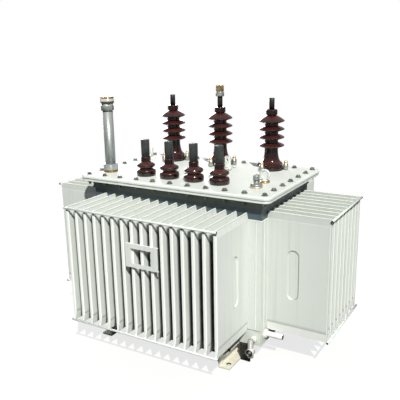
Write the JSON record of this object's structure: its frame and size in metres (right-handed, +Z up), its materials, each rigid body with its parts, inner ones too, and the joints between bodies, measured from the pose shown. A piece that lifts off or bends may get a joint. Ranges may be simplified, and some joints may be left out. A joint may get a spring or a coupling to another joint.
{
  "type": "power transformer",
  "caption": "Sealed oil-filled distribution transformer with corrugated cooling fins on all sides, brown porcelain bushings, an oil gauge tube and base rails.",
  "frame": {"origin": "on the floor under the middle of the tank, between the base rails", "axes": "+X along the long side of the tank, -Y towards the front with the low-voltage row and the plate frame, +Z up"},
  "size_m": [1.32, 0.993, 1.057],
  "materials": {
    "paint_white": "satin paint on steel",
    "paint_slate": "satin dark slate paint on steel",
    "paint_rail": "satin paint on steel",
    "gasket_rubber": "matt",
    "porcelain_brown": "glossy brown glaze",
    "terminal_dark": "dull dark metal",
    "rod_dark": "dull dark metal",
    "connector_metal": "satin",
    "gauge_metal": "satin",
    "gauge_brass": "satin",
    "valve_metal": "satin",
    "valve_brass": "satin",
    "stud_metal": "bright plated",
    "drain_metal": "satin paint"
  },
  "bodies": {
    "root": {"tank_body": "paint_white", "base_box": "paint_white", "tank_flange": "paint_white", "cover_plate": "paint_white", "front_panel": "paint_white", "back_panel": "paint_white", "left_panel": "paint_white", "right_panel": "paint_white", "corner_posts": "paint_white", "tie_rods_upper": "paint_white", "tie_rods_lower": "paint_white", "nameplate_frame": "paint_white", "lifting_eye_right": "paint_white", "lifting_eye_left": "paint_white", "tap_changer": "paint_white", "eye_collars": "valve_brass", "tank_neck": "paint_slate", "cover_gasket": "gasket_rubber", "base_rail_left": "paint_rail", "base_rail_right": "paint_rail", "base_beams": "paint_rail", "hv_bushing_1": "porcelain_brown", "hv_terminal_1": "rod_dark", "hv_bushing_2": "porcelain_brown", "hv_terminal_2": "rod_dark", "hv_bushing_3": "porcelain_brown", "hv_terminal_3": "rod_dark", "lv_bushing_1": "porcelain_brown", "lv_terminal_1": "terminal_dark", "lv_bushing_2": "porcelain_brown", "lv_terminal_2": "terminal_dark", "lv_bushing_3": "porcelain_brown", "lv_terminal_3": "terminal_dark", "lv_bushing_4": "porcelain_brown", "lv_terminal_4": "terminal_dark", "hv_connector": "connector_metal", "hv_clamps": "stud_metal", "gauge_ring": "gauge_brass", "gauge_nut": "gauge_metal", "gauge_tube": "gauge_metal", "gauge_collar": "gauge_metal", "gauge_cap": "gauge_brass", "relief_ring": "valve_brass", "relief_valve": "valve_metal", "drain_valve": "drain_metal", "drain_pipe": "drain_metal"}
  },
  "joints": []
}
